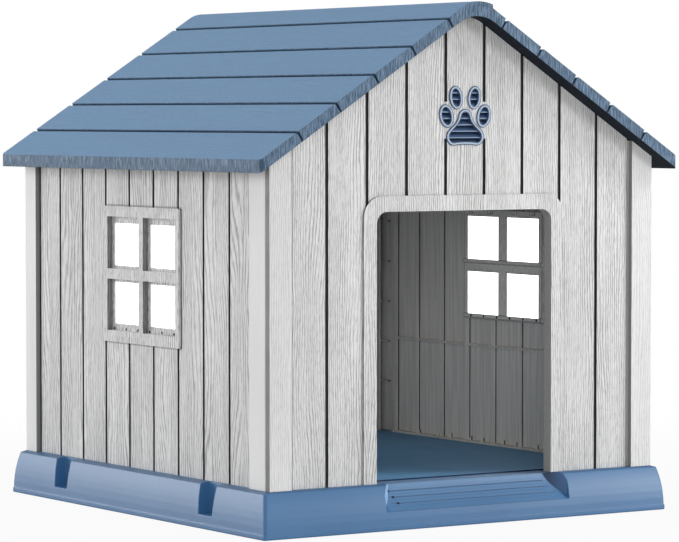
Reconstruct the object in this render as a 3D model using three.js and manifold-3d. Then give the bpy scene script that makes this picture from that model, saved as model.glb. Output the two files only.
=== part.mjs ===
// A large moulded plastic dog house: base tray with an entry ramp, four wall panels
// that stand on it, windows, a paw-shaped vent and a two-piece lift-off roof.
// Millimetres, +Z up. Origin: middle of the underside of the base.
// The front (doorway) faces -Y, the ridge runs along Y.
import * as THREE from 'three';
import { mergeVertices } from 'three/addons/utils/BufferGeometryUtils.js';
import Module from 'manifold-3d';

const wasm = await Module();
wasm.setup();

// ---------------------------------------------------------------- driving sizes
const GAP = 0.3;                 // clearance between pieces that touch
const PAST = 30;                 // how far a cutting shape runs past what it cuts

// house body
const WALL_HALF_X = 450;         // outer face of the corner posts, left and right
const WALL_HALF_Y = 482;         // outer face of the corner posts, front and back
const WALL_SKIN = 3;             // moulded skin of every wall
const POST_PROUD = 9;            // corner posts stand proud of the boards
const FRONT_POST_W = 49;         // width of the posts on the front and back walls
const GROOVE_W = 7;              // groove between two boards
const GROOVE_D = 5;              // depth of that groove
const FRONT_BOARD_PITCH = 90.7;  // board width on the front and back walls
const SIDE_BOARD_PITCH = 95.8;   // board width on the side walls
const BOARD_GROOVES = 8;         // grooves in each wall
const SIDE_FIELD_OFFSET = 11.7;  // the side boards' middle lies behind the house's middle
const SIDE_LONG_POST_W = 73;     // side wall's wide corner post, measured from the house corner
const SIDE_SHORT_POST_W = 44;    // side wall's narrow corner post
const EDGE_DEPTH = 18;           // depth of the returned edge of each wall
const FLANGE_W = 17.5;           // foot flange along the inside of each wall
const FLANGE_T = 4;

// doorway
const DOOR_HALF_W = 206;
const DOOR_TOP_Z = 606.5;
const DOOR_R = 24;
const TRIM_W = 30;               // raised trim round the doorway
const TRIM_R = 42;
const TRIM_PROUD = 3;            // trim stands proud of the boards
const REVEAL_DEPTH = 24;         // depth of the doorway's returned edge

// windows
const WINDOW_OFFSET = 6;         // window's middle from the house's middle
const WINDOW_HALF_W = 148;
const WINDOW_Z0 = 336;
const WINDOW_Z1 = 608.5;
const WINDOW_R = 4;
const WINDOW_SIDE = 13.5;        // border of the frame left and right of the lights
const WINDOW_TOP_RAIL = 21.1;    // border above the lights
const WINDOW_MID_RAIL = 20.5;    // rail between the upper and lower lights
const WINDOW_RAIL = 22.5;        // border below the lights
const WINDOW_MUNTIN = 17;        // upright bar between the lights
const WINDOW_PROUD = 5;          // frame stands proud of the boards
const WINDOW_DEPTH = 11.3;       // depth of the frame from its face
const WINDOW_LAP_SIDE = 8;       // frame laps over the wall left and right
const WINDOW_LAP_RAIL = 19;      // and above and below
const INSERT_T = 7;
const INSERT_BORDER = 7;         // how far the insert shows beside each light of the frame
const INSERT_RAIL_BORDER = 13.3; // the same above the upper and below the lower lights
const INSERT_BAR_BORDER = 6;     // and along the middle rail
const INSERT_FACE_T = 3;
const INSERT_DROP = 6;           // the inner openings reach further down than the outer ones
const REBATE = 4;                // slot of a pane, at its sides and top
const PANE_T = 2;
const SILL_H = 8;                // ledge below each row of panes, on the inside
const SILL_REACH = 4;
const HOOK_NEAR_Y = 42;          // hooks along the insert's top, from its middle
const HOOK_FAR_Y = 108;
const HOOK_W = 14;
const HOOK_H = 9;
const HOOK_T = 5;
const DRAINS = 6;                // drain holes along the bottom rail of the insert
const DRAIN_R = 2.2;
const DRAIN_PITCH = 47.2;
const DRAIN_LIFT = 3.5;          // middle of the holes above the frame's bottom border
const DRAIN_OFFSET = 8;          // middle of the row from the window's middle

// inside of the side walls
const RAIL_Z = 296;              // stiffening rail below the window
const RAIL_H = 4;
const RAIL_REACH = 8;
const TAB_Z0 = 197;              // lowest corner tab
const TAB_PITCH = 89;
const TABS = 5;
const TAB_T = 2.5;
const TAB_REACH = 10;
const TAB_LENGTH = 38;
const TONGUE_LENGTH = 9;         // tongues that reach behind the front wall's edge
const GUSSET = 10;               // small gussets in pairs along the foot flange
const GUSSET_T = 2.5;
const GUSSET_PITCH = 120;
const GUSSET_STEP = 75;
const GUSSET_INSET = 121;        // first gusset from the house corner
const GUSSET_PAIRS = 6;

// base tray
const BASE_TOP_Z = 87.7;         // rim that the walls stand on
const BASE_SHOULDER_Z = 84.5;    // outer edge of the rim's bevel
const BASE_LIP_Z = 9;
const BASE_LIP = 1.2;
const BASE_OVER_X = 14;          // shoulder outside the wall, left and right
const BASE_OVER_Y = 4;           // shoulder outside the wall, front and back
const BASE_FLARE_X = 9;          // further spread of the foot
const BASE_FLARE_Y = 14.5;
const BASE_BULGE = 2.3;          // how long the sides stay upright before they lean in
const BASE_CORNER_R = 5.5;
const BASE_LIP_ROUND = 1.5;
const BASE_WALL = 4;
const DECK_Z = 86;
const DECK_T = 3;
const SILL_DEPTH = 46;           // depth of the flat sill in the doorway
const BASE_RIB_T = 3;
const BASE_RIB_LIFT = 5;         // ribs stay clear of the ground
const SLOT_Y = 288;              // finger slots in the long sides
const SLOT_OFFSET = 4;           // the slots' middle lies behind the house's middle
const SLOT_TOP_W = 62;
const SLOT_BOTTOM_W = 50;
const SLOT_Z = 27;
const SLOT_UNDER = 5;            // the slots reach in behind the face of the corner posts

// entry ramp
const RAMP_FOOT_Z = 36;
const RAMP_FOOT_OUT = 16;        // foot in front of the face of the corner posts
const RAMP_TOP_IN = 16;          // top behind that face
const RAMP_SAG = 5;              // how hollow the ramp is
const RAMP_LEFT = -198;
const RAMP_LEFT_CHAMFER = 16;
const RAMP_CHAMFER_DEPTH = 14;
const RAMP_CHAMFER_IN = 6;       // the chamfer starts behind the ramp's foot
const RAMP_RIGHT = 235;
const RAMP_RIGHT_FLARE = 45;
const RAMP_FLARE_IN = 8;         // the flare ends behind the ramp's foot
const TREADS = 3;                // grooves across the ramp
const TREAD_TOP_Z = 72.3;
const TREAD_PITCH = 11.2;
const TREAD_D = 1;
const TREAD_H = 1.4;
const TREAD_MARGIN_LEFT = 3;
const TREAD_MARGIN_RIGHT = 8;
const TREAD_STAGGER = 7;
const TREAD_PIT_L = 5;           // deeper end of each groove
const TREAD_PIT_H = 3.2;
const TREAD_PIT_D = 2.4;
const SILL_GROOVE_IN = 3.5;      // groove along the sill, behind the top of the ramp

// floor panel
const FLOOR_T = 2.5;
const FLOOR_INSET = 58;          // front edge behind the face of the corner posts

// roof
const ROOF_SLOPE = THREE.MathUtils.degToRad(32.4);
const ROOF_OVERHANG = 33;        // gable edges in front of the corner posts
const EAVE_OUT = 39;             // eaves outside the corner posts
const EAVE_TOP_Z = 708;
const ROOF_T = 20.8;             // board thickness, square to the slope
const ROOF_SKIN = 3;
const ROOF_GROOVE_X = 69;        // groove nearest the ridge
const ROOF_BOARD_PITCH = 84.8;   // measured level
const ROOF_GROOVES = 5;
const ROOF_GROOVE_W = 6.5;
const ROOF_GROOVE_FOOT_W = 1.5;
const ROOF_GROOVE_D = 18;
const ROOF_CHAMFER = 2;
const ROOF_CORNER_R = 8.5;
const CAP_CREST_X = 2;           // the left half's cap crosses the ridge
const CAP_DROP = 10.13;          // crest below the line where the slopes would meet
const CAP_EDGE_X = 36;
const CAP_FALL = 5.6;            // edge of the cap below its crest
const CAP_T = 7;
const RIDGE_UNDER_R = 75;
const ROOF_RIM = 53;             // solid border along the gables
const RIDGE_HOLLOW_X = 24;       // where the hollow next to the ridge starts
const ROOF_POCKETS = 5;          // hollows along each board
const ROOF_RIB_T = 4;
const RIDGE_SKIN_LEFT = 6;       // extra thickness under the ridge cap
const RIDGE_SKIN_RIGHT = 9;

// paw vent
const PAW_Z = 770;
const PAW_RIM = 6;
const PAW_PROUD = 2;
const PAW_PLATE_T = 2.5;
const TOE_HALF_H = 17;
const UPPER_TOE_X = 21.5;
const UPPER_TOE_Z = 53.8;        // above the paw's middle
const UPPER_TOE_HALF_W = 9.5;
const UPPER_TOE_LEAN = 0.16;
const LOWER_TOE_X = 44;
const LOWER_TOE_Z = 18.5;
const LOWER_TOE_HALF_W = 10.5;
const LOWER_TOE_LEAN = 0.26;
const PAD_CROWN_R = 10;
const PAD_CROWN_Z = 16;
const PAD_LOBE_R = 11;
const PAD_LOBE_X = 27;
const PAD_LOBE_Z = -21.5;
const PAD_WAIST = 3;             // how far the pad's sides bow out below its crown
const PAD_HIP = 4;
const PAD_ARCH = 3;              // how far its lower edge bows in
const PAW_FIELD = 48.8;          // half width of the flat field behind the paw
const PAW_CLEAR_Z0 = 745;        // board grooves stop between these heights
const PAW_CLEAR_Z1 = 816;
const PAW_PLATE_HALF_W = 75;     // plate behind the wall that carries the five rims
const PAW_PLATE_BELOW = 55;
const PAW_PLATE_ABOVE = 90;
const PAW_PLATE_R = 20;
const LOUVRES = 10;
const LOUVRE_BELOW = 48.9;       // lowest louvre below the paw's middle
const LOUVRE_PITCH = 12.3;
const LOUVRE_T = 2.2;
const LOUVRE_D = 6;
const LOUVRE_RISE = 8.5;         // back edge above the front edge
const LOUVRE_SET_BACK = 3;

// ------------------------------------------------------------------- looks
const COLOUR = {
  wall: { color: 0xdadad8, roughness: 0.6, metalness: 0 },
  insert: { color: 0x8e8f8f, roughness: 0.6, metalness: 0 },
  pane: { color: 0xf4f5f4, roughness: 0.35, metalness: 0 },
  base: { color: 0x6c93ba, roughness: 0.5, metalness: 0 },
  floor: { color: 0x3f6482, roughness: 0.55, metalness: 0 },
  roof: { color: 0x7899b6, roughness: 0.55, metalness: 0 },
  vent: { color: 0x7f97b4, roughness: 0.5, metalness: 0 },
};

// --------------------------------------------------------------- solid helpers
const ALONG_X = new THREE.Matrix4().makeBasis(
  new THREE.Vector3(0, 1, 0), new THREE.Vector3(0, 0, 1), new THREE.Vector3(1, 0, 0));
const ALONG_Y = new THREE.Matrix4().makeBasis(
  new THREE.Vector3(1, 0, 0), new THREE.Vector3(0, 0, 1), new THREE.Vector3(0, -1, 0));

function solid(geometry) {
  const bare = geometry.clone();
  bare.deleteAttribute('normal');
  bare.deleteAttribute('uv');
  const merged = mergeVertices(bare, 1e-4);
  return new wasm.Manifold(new wasm.Mesh({
    numProp: 3,
    vertProperties: Float32Array.from(merged.attributes.position.array),
    triVerts: Uint32Array.from(merged.index.array),
  }));
}

function geometryOf(body) {
  const mesh = body.getMesh();
  const geometry = new THREE.BufferGeometry();
  geometry.setAttribute('position', new THREE.BufferAttribute(mesh.vertProperties, 3));
  geometry.setIndex(new THREE.BufferAttribute(mesh.triVerts, 1));
  geometry.computeVertexNormals();
  return geometry;
}

const join = (...bodies) => bodies.flat().reduce((sum, body) => sum.add(body));
const cut = (body, ...tools) => tools.flat().reduce((left, tool) => left.subtract(tool), body);

function shapeOf(points) {
  return new THREE.Shape(points.map(([a, b]) => new THREE.Vector2(a, b)));
}

function extrude(shape, depth) {
  return new THREE.ExtrudeGeometry(shape, { depth, bevelEnabled: false, curveSegments: 8 });
}

// a shape drawn in (x, y), standing from z0 to z1
function prismZ(shape, z0, z1) {
  return solid(extrude(shape, z1 - z0).translate(0, 0, z0));
}

// a shape drawn in (y, z), reaching from x0 to x1
function prismX(shape, x0, x1) {
  return solid(extrude(shape, x1 - x0).applyMatrix4(ALONG_X).translate(x0, 0, 0));
}

// a shape drawn in (x, z), reaching from y0 to y1
function prismY(shape, y0, y1) {
  return solid(extrude(shape, y1 - y0).applyMatrix4(ALONG_Y).translate(0, y1, 0));
}

function box(x0, x1, y0, y1, z0, z1) {
  const geometry = new THREE.BoxGeometry(x1 - x0, y1 - y0, z1 - z0);
  return solid(geometry.translate((x0 + x1) / 2, (y0 + y1) / 2, (z0 + z1) / 2));
}

// rectangle with its own radius at each corner: bottom left, bottom right, top right, top left
function roundedRect(a0, a1, b0, b1, radii) {
  const [r0, r1, r2, r3] = radii;
  const shape = new THREE.Shape();
  shape.moveTo(a0 + r0, b0);
  shape.lineTo(a1 - r1, b0);
  if (r1) shape.absarc(a1 - r1, b0 + r1, r1, -Math.PI / 2, 0);
  shape.lineTo(a1, b1 - r2);
  if (r2) shape.absarc(a1 - r2, b1 - r2, r2, 0, Math.PI / 2);
  shape.lineTo(a0 + r3, b1);
  if (r3) shape.absarc(a0 + r3, b1 - r3, r3, Math.PI / 2, Math.PI);
  shape.lineTo(a0, b0 + r0);
  if (r0) shape.absarc(a0 + r0, b0 + r0, r0, Math.PI, Math.PI * 1.5);
  return shape;
}

function mesh(name, body, look, group) {
  const piece = new THREE.Mesh(geometryOf(body), new THREE.MeshStandardMaterial(COLOUR[look]));
  piece.name = name;
  group.add(piece);
}

// ------------------------------------------------------------------ roof lines
const SLOPE_TAN = Math.tan(ROOF_SLOPE);
const SLOPE_COS = Math.cos(ROOF_SLOPE);
const SLOPE_SIN = Math.sin(ROOF_SLOPE);
const ROOF_HALF_Y = WALL_HALF_Y + ROOF_OVERHANG;
const EAVE_X = WALL_HALF_X + EAVE_OUT;
const OUTER_APEX_Z = EAVE_TOP_Z + EAVE_X * SLOPE_TAN;
const UNDER_APEX_Z = OUTER_APEX_Z - ROOF_T / SLOPE_COS;
const outerZ = (x) => OUTER_APEX_Z - SLOPE_TAN * Math.abs(x);
const underZ = (x) => UNDER_APEX_Z - SLOPE_TAN * Math.abs(x);

function arcPoints(cx, cz, r, from, to, steps) {
  const points = [];
  for (let i = 0; i <= steps; i += 1) {
    const a = from + ((to - from) * i) / steps;
    points.push([cx + r * Math.cos(a), cz + r * Math.sin(a)]);
  }
  return points;
}

// the underside of the roof from x = -reach to +reach, lowered by a clearance
function undersideLine(reach, clearance) {
  const r = RIDGE_UNDER_R - clearance;
  const cz = UNDER_APEX_Z - RIDGE_UNDER_R / SLOPE_COS;
  const drop = clearance / SLOPE_COS;
  const arc = arcPoints(0, cz, r, Math.PI / 2 + ROOF_SLOPE, Math.PI / 2 - ROOF_SLOPE, 10);
  return [[-reach, underZ(reach) - drop], ...arc, [reach, underZ(reach) - drop]];
}

// everything below the roof, from the top of the base upwards
function houseEnvelope(reach) {
  const z0 = BASE_TOP_Z + GAP;
  const outline = [[reach, z0], [-reach, z0], ...undersideLine(reach, GAP)];
  return prismY(shapeOf(outline.reverse()), -WALL_HALF_Y - 1, WALL_HALF_Y + 1);
}

// ----------------------------------------------------------------------- walls
const BOARD_N = -POST_PROUD;
const GROOVE_N = BOARD_N - GROOVE_D;

// section of a wall seen from above: t runs along it and n is measured outwards from the
// face of its posts; the skin follows posts, boards and grooves at an even thickness
function wallSection(t0, t1, postA, postB, grooves) {
  const s = WALL_SKIN;
  const cuts = [postA + GROOVE_W / 2, ...grooves, postB - GROOVE_W / 2];
  const outer = [[t0, 0], [postA, 0]];
  const inner = [[t0 + s, -EDGE_DEPTH], [t0 + s, -s], [postA - s, -s]];
  cuts.forEach((t, i) => {
    const a = t - GROOVE_W / 2;
    const b = t + GROOVE_W / 2;
    if (i > 0) outer.push([a, BOARD_N]);
    outer.push([a, GROOVE_N], [b, GROOVE_N]);
    if (i < cuts.length - 1) outer.push([b, BOARD_N]);
    if (i > 0) inner.push([a - s, BOARD_N - s]);
    inner.push([a - s, GROOVE_N - s], [b + s, GROOVE_N - s]);
    if (i < cuts.length - 1) inner.push([b + s, BOARD_N - s]);
  });
  outer.push([postB, 0], [t1, 0]);
  inner.push([postB + s, -s], [t1 - s, -s], [t1 - s, -EDGE_DEPTH]);
  return [...outer, [t1, -EDGE_DEPTH], ...inner.reverse(), [t0, -EDGE_DEPTH]];
}

function boardGrooves(pitch, middle) {
  return Array.from({ length: BOARD_GROOVES }, (_, i) => (
    middle + (i - (BOARD_GROOVES - 1) / 2) * pitch));
}

// stands a wall section up; place turns (t, n) into (x, y)
function standingWall(section, place) {
  const shape = shapeOf(section.map(([t, n]) => place(t, n)));
  return prismZ(shape, BASE_TOP_Z, UNDER_APEX_Z).intersect(houseEnvelope(WALL_HALF_X + 1));
}

const frontPlace = (t, n) => [t, -WALL_HALF_Y - n];
const backPlace = (t, n) => [t, WALL_HALF_Y + n];
const FRONT_BOARD_Y = -WALL_HALF_Y + POST_PROUD;
const FRONT_INNER_Y = FRONT_BOARD_Y + WALL_SKIN;
const SIDE_INNER_X = WALL_HALF_X - POST_PROUD - WALL_SKIN;
const FLANGE_Z0 = BASE_TOP_Z + GAP;
const FLANGE_Z1 = FLANGE_Z0 + FLANGE_T;

function doorOutline(grow, r) {
  const z1 = DOOR_TOP_Z + grow;
  return roundedRect(-DOOR_HALF_W - grow, DOOR_HALF_W + grow, 0, z1, [0, 0, r, r]);
}

function frontWall() {
  const post = WALL_HALF_X - FRONT_POST_W;
  const grooves = boardGrooves(FRONT_BOARD_PITCH, 0);
  const section = wallSection(-WALL_HALF_X, WALL_HALF_X, -post, post, grooves);
  const trimY = FRONT_BOARD_Y - TRIM_PROUD;
  const backOfGroove = FRONT_BOARD_Y + GROOVE_D + WALL_SKIN / 2;
  const trim = prismY(doorOutline(TRIM_W, TRIM_R), trimY, backOfGroove);
  const reveal = prismY(doorOutline(WALL_SKIN, DOOR_R + WALL_SKIN), trimY, trimY + REVEAL_DEPTH);
  const pawField = box(-PAW_FIELD, PAW_FIELD, FRONT_BOARD_Y, backOfGroove,
    PAW_CLEAR_Z0, PAW_CLEAR_Z1);
  const flanges = [-1, 1].map((side) => sideBox(side, WALL_HALF_X - EDGE_DEPTH - FLANGE_W,
    DOOR_HALF_W + WALL_SKIN / 2, FRONT_INNER_Y - 1, FRONT_INNER_Y + FLANGE_W,
    FLANGE_Z0, FLANGE_Z1));
  const doorway = prismY(doorOutline(0, DOOR_R), trimY - 5, trimY + REVEAL_DEPTH + 5);
  const above = box(-WALL_HALF_X, WALL_HALF_X, -WALL_HALF_Y, 0, FLANGE_Z0, UNDER_APEX_Z);
  const panel = join(standingWall(section, frontPlace), trim, reveal, pawField, flanges);
  const hole = pawShapes(PAW_RIM + GAP).map((shape) => (
    prismY(shape, FRONT_BOARD_Y - 5, backOfGroove + WALL_SKIN + 5)));
  return cut(panel.intersect(above), doorway, hole);
}

function backWall() {
  const half = WALL_HALF_X - EDGE_DEPTH - GAP;
  const post = WALL_HALF_X - FRONT_POST_W;
  const grooves = boardGrooves(FRONT_BOARD_PITCH, 0);
  const section = wallSection(-half, half, -post, post, grooves);
  const flange = box(-half + FLANGE_W, half - FLANGE_W, -FRONT_INNER_Y - FLANGE_W,
    -FRONT_INNER_Y + 1, FLANGE_Z0, FLANGE_Z1);
  return join(standingWall(section, backPlace), flange);
}

// side walls: sign is -1 for the left one and +1 for the right one
function sideWallSizes(sign) {
  const turned = sign > 0;
  const longPost = WALL_HALF_Y - SIDE_LONG_POST_W;
  const shortPost = WALL_HALF_Y - SIDE_SHORT_POST_W;
  return {
    t0: -WALL_HALF_Y + EDGE_DEPTH + GAP,
    t1: WALL_HALF_Y,
    postA: turned ? -shortPost : -longPost,
    postB: turned ? longPost : shortPost,
    middle: -sign * SIDE_FIELD_OFFSET,
    windowY: -sign * WINDOW_OFFSET,
  };
}

// a box given by how far out it reaches (out0 > out1) on one side of the house
function sideBox(sign, out0, out1, y0, y1, z0, z1) {
  const a = sign * out0;
  const b = sign * out1;
  return box(Math.min(a, b), Math.max(a, b), y0, y1, z0, z1);
}

function sidePrism(sign, shape, out0, out1) {
  const a = sign * out0;
  const b = sign * out1;
  return prismX(shape, Math.min(a, b), Math.max(a, b));
}

function cornerTabs(sign, out, y0, y1) {
  return Array.from({ length: TABS }, (_, i) => {
    const z = TAB_Z0 + i * TAB_PITCH;
    return sideBox(sign, out, out - TAB_REACH, y0, y1, z, z + TAB_T);
  });
}

function gussets(sign) {
  const outline = [
    [SIDE_INNER_X + 1, FLANGE_Z1 - 1], [SIDE_INNER_X + 1, FLANGE_Z1 + GUSSET],
    [SIDE_INNER_X, FLANGE_Z1 + GUSSET], [SIDE_INNER_X - GUSSET, FLANGE_Z1],
    [SIDE_INNER_X - GUSSET, FLANGE_Z1 - 1]];
  const shape = shapeOf(outline.map(([out, z]) => [sign * out, z]));
  const first = -WALL_HALF_Y + GUSSET_INSET;
  return Array.from({ length: GUSSET_PAIRS }, (_, i) => first + i * GUSSET_PITCH)
    .flatMap((y) => [y, y + GUSSET_STEP])
    .map((y) => prismY(shape, sign * y - GUSSET_T / 2, sign * y + GUSSET_T / 2));
}

function sideWall(sign) {
  const { t0, t1, postA, postB, middle, windowY } = sideWallSizes(sign);
  const grooves = boardGrooves(SIDE_BOARD_PITCH, middle);
  const section = wallSection(t0, t1, postA, postB, grooves);
  const place = (t, n) => [sign * (WALL_HALF_X + n), t];
  const inner = SIDE_INNER_X;
  const skinX = WALL_HALF_X - WALL_SKIN;
  const field0 = postA + GROOVE_W;
  const field1 = postB - GROOVE_W;
  const rail = sideBox(sign, inner + 1, inner - RAIL_REACH, field0, field1,
    RAIL_Z, RAIL_Z + RAIL_H);
  const flange = sideBox(sign, inner + 1, inner - FLANGE_W, field0, field1, FLANGE_Z0, FLANGE_Z1);
  const tongues = cornerTabs(sign, skinX - GAP, t0 - TONGUE_LENGTH, t0 + WALL_SKIN / 2);
  const ribs = cornerTabs(sign, skinX + 1, t1 - TAB_LENGTH, t1 - WALL_SKIN / 2);
  const opening = sidePrism(sign, wallWindowShape(windowY, 0), WALL_HALF_X, inner - EDGE_DEPTH);
  const body = join(standingWall(section, place), rail, flange, tongues, ribs, gussets(sign));
  return cut(body, opening);
}

// --------------------------------------------------------------------- windows
const FRAME_FACE_X = WALL_HALF_X - POST_PROUD + WINDOW_PROUD;
const FRAME_BACK_X = FRAME_FACE_X - WINDOW_DEPTH;
const INSERT_FACE_X = FRAME_BACK_X - GAP;
const INSERT_BACK_X = INSERT_FACE_X - INSERT_T;
const SLOT_FACE_X = INSERT_FACE_X - INSERT_FACE_T;
const PANE_FACE_X = SLOT_FACE_X - GAP;
const PANE_BACK_X = PANE_FACE_X - PANE_T;

function wallWindowShape(windowY, clearance) {
  const half = WINDOW_HALF_W - WINDOW_LAP_SIDE - clearance;
  return roundedRect(windowY - half, windowY + half, WINDOW_Z0 + WINDOW_LAP_RAIL + clearance,
    WINDOW_Z1 - WINDOW_LAP_RAIL - clearance, [0, 0, 0, 0]);
}

// the four lights as [y0, y1, z0, z1], inset at the sides, at the window's outer rails
// and at its middle rail
function lights(windowY, side, rail, bar) {
  const half = WINDOW_HALF_W - WINDOW_SIDE;
  const muntin = WINDOW_MUNTIN / 2;
  const middle = (WINDOW_Z0 + WINDOW_Z1) / 2;
  const columns = [[windowY - half, windowY - muntin], [windowY + muntin, windowY + half]];
  const rows = [
    [WINDOW_Z0 + WINDOW_RAIL + rail, middle - WINDOW_MID_RAIL / 2 - bar],
    [middle + WINDOW_MID_RAIL / 2 + bar, WINDOW_Z1 - WINDOW_TOP_RAIL - rail]];
  return rows.flatMap(([z0, z1]) => columns.map(([y0, y1]) => [y0 + side, y1 - side, z0, z1]));
}

// the insert's openings, wider and higher by a seat and dropped at their lower edge
const insertLights = (windowY, seat, drop) => (
  lights(windowY, INSERT_BORDER - seat, INSERT_RAIL_BORDER, INSERT_BAR_BORDER)
    .map(([y0, y1, z0, z1]) => [y0, y1, z0 - drop, z1 + seat]));

function windowFrame(sign) {
  const { windowY } = sideWallSizes(sign);
  const outline = roundedRect(windowY - WINDOW_HALF_W, windowY + WINDOW_HALF_W,
    WINDOW_Z0, WINDOW_Z1, [WINDOW_R, WINDOW_R, WINDOW_R, WINDOW_R]);
  const face = sidePrism(sign, outline, FRAME_FACE_X, FRAME_FACE_X - WINDOW_PROUD + GAP);
  const collar = sidePrism(sign, wallWindowShape(windowY, GAP), FRAME_FACE_X - 1, FRAME_BACK_X);
  const holes = lights(windowY, 0, 0, 0).map((light) => (
    sideBox(sign, FRAME_FACE_X + 1, FRAME_BACK_X - 1, ...light)));
  return cut(join(face, collar), holes);
}

function windowInsert(sign) {
  const { windowY } = sideWallSizes(sign);
  const plate = sidePrism(sign, wallWindowShape(windowY, GAP), INSERT_FACE_X, INSERT_BACK_X);
  const holes = insertLights(windowY, 0, 0).map((light) => (
    sideBox(sign, INSERT_FACE_X + 1, SLOT_FACE_X - 1, ...light)));
  const slots = insertLights(windowY, REBATE, INSERT_DROP).map((light) => (
    sideBox(sign, SLOT_FACE_X, PANE_BACK_X - GAP, ...light)));
  const innerLights = insertLights(windowY, 0, INSERT_DROP);
  const innerHoles = innerLights.map((light) => (
    sideBox(sign, PANE_BACK_X, INSERT_BACK_X - 1, ...light)));
  const hookTop = WINDOW_Z1 - WINDOW_LAP_RAIL - GAP;
  const hookPlaces = [-HOOK_FAR_Y, -HOOK_NEAR_Y, HOOK_NEAR_Y, HOOK_FAR_Y];
  const hooks = hookPlaces.map((y) => sideBox(sign, INSERT_BACK_X + 1,
    INSERT_BACK_X - HOOK_T, windowY + y - HOOK_W / 2, windowY + y + HOOK_W / 2,
    hookTop - HOOK_H, hookTop));
  const sillHalf = WINDOW_HALF_W - WINDOW_LAP_SIDE - GAP;
  const [lower, , upper] = innerLights;
  const sills = [lower, upper].map(([, , z]) => sideBox(sign, INSERT_BACK_X + 1,
    INSERT_BACK_X - SILL_REACH, windowY - sillHalf, windowY + sillHalf, z - SILL_H, z));
  const drainZ = WINDOW_Z0 + WINDOW_RAIL + DRAIN_LIFT;
  const drains = Array.from({ length: DRAINS }, (_, i) => {
    const drain = new THREE.CylinderGeometry(DRAIN_R, DRAIN_R, INSERT_T * 2, 12);
    const x = sign * (INSERT_FACE_X + INSERT_BACK_X) / 2;
    const y = windowY - sign * DRAIN_OFFSET + (i - (DRAINS - 1) / 2) * DRAIN_PITCH;
    drain.rotateZ(Math.PI / 2).translate(x, y, drainZ);
    return solid(drain);
  });
  return cut(join(plate, hooks, sills), holes, slots, innerHoles, drains);
}

function windowPanes(sign) {
  const { windowY } = sideWallSizes(sign);
  return insertLights(windowY, REBATE - GAP, INSERT_DROP - GAP).map((light) => (
    sideBox(sign, PANE_FACE_X, PANE_BACK_X, ...light)));
}

// -------------------------------------------------------------------- paw vent
function toeShape(x, z, halfW, lean, rim) {
  const shape = new THREE.Shape();
  shape.absellipse(x, PAW_Z + z, halfW + rim, TOE_HALF_H + rim, 0, Math.PI * 2, false, lean);
  return shape;
}

// main pad: a rounded triangle with a waist and two lobes, drawn clockwise from its crown
function padShape(rim) {
  const shape = new THREE.Shape();
  const crownR = PAD_CROWN_R + rim;
  const lobeR = PAD_LOBE_R + rim;
  const crownZ = PAW_Z + PAD_CROWN_Z;
  const lobeZ = PAW_Z + PAD_LOBE_Z;
  const crownEnd = 0.35;
  const lobeStart = 0.64;
  const lobeEnd = Math.PI / 2 + 0.2;
  const at = (x, z, r, a) => [x + r * Math.cos(a), z + r * Math.sin(a)];
  const [crownX, crownEndZ] = at(0, crownZ, crownR, crownEnd);
  const [sideX, sideZ] = at(PAD_LOBE_X, lobeZ, lobeR, lobeStart);
  const [footX, footZ] = at(PAD_LOBE_X, lobeZ, lobeR, -lobeEnd);
  const waistX = crownR + PAD_WAIST;
  const hipX = PAD_LOBE_X + lobeR / 3;
  const hipZ = lobeZ + lobeR + PAD_HIP;
  shape.moveTo(-crownX, crownEndZ);
  shape.absarc(0, crownZ, crownR, Math.PI - crownEnd, crownEnd, true);
  shape.bezierCurveTo(waistX, PAW_Z, hipX, hipZ, sideX, sideZ);
  shape.absarc(PAD_LOBE_X, lobeZ, lobeR, lobeStart, -lobeEnd, true);
  shape.quadraticCurveTo(0, footZ + PAD_ARCH, -footX, footZ);
  shape.absarc(-PAD_LOBE_X, lobeZ, lobeR, lobeEnd - Math.PI, -Math.PI - lobeStart, true);
  shape.bezierCurveTo(-hipX, hipZ, -waistX, PAW_Z, -crownX, crownEndZ);
  return shape;
}

function pawShapes(rim) {
  const toes = [-1, 1].flatMap((side) => [
    toeShape(side * UPPER_TOE_X, UPPER_TOE_Z, UPPER_TOE_HALF_W, -side * UPPER_TOE_LEAN, rim),
    toeShape(side * LOWER_TOE_X, LOWER_TOE_Z, LOWER_TOE_HALF_W, -side * LOWER_TOE_LEAN, rim)]);
  return [...toes, padShape(rim)];
}

function pawVent() {
  const faceY = FRONT_BOARD_Y - PAW_PROUD;
  const plateY = FRONT_BOARD_Y + GROOVE_D + WALL_SKIN + GAP;
  const backY = plateY + PAW_PLATE_T;
  const r = PAW_PLATE_R;
  const outline = roundedRect(-PAW_PLATE_HALF_W, PAW_PLATE_HALF_W,
    PAW_Z - PAW_PLATE_BELOW, PAW_Z + PAW_PLATE_ABOVE, [r, r, r, r]);
  const plate = prismY(outline, plateY, backY);
  const rims = pawShapes(PAW_RIM).map((shape) => prismY(shape, faceY, plateY + 1));
  const openings = pawShapes(0).map((shape) => prismY(shape, faceY - 1, backY + 1));
  const y0 = faceY + LOUVRE_SET_BACK;
  const y1 = y0 + LOUVRE_D;
  const bars = Array.from({ length: LOUVRES }, (_, i) => {
    const z = PAW_Z - LOUVRE_BELOW + i * LOUVRE_PITCH;
    const slat = [[y0, z], [y1, z + LOUVRE_RISE], [y1, z + LOUVRE_RISE + LOUVRE_T],
      [y0, z + LOUVRE_T]];
    return prismX(shapeOf(slat), -PAW_PLATE_HALF_W, PAW_PLATE_HALF_W);
  });
  const louvres = join(bars).intersect(join(pawShapes(1).map((shape) => (
    prismY(shape, faceY, backY)))));
  return join(cut(join(plate, rims), openings), louvres);
}

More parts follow.
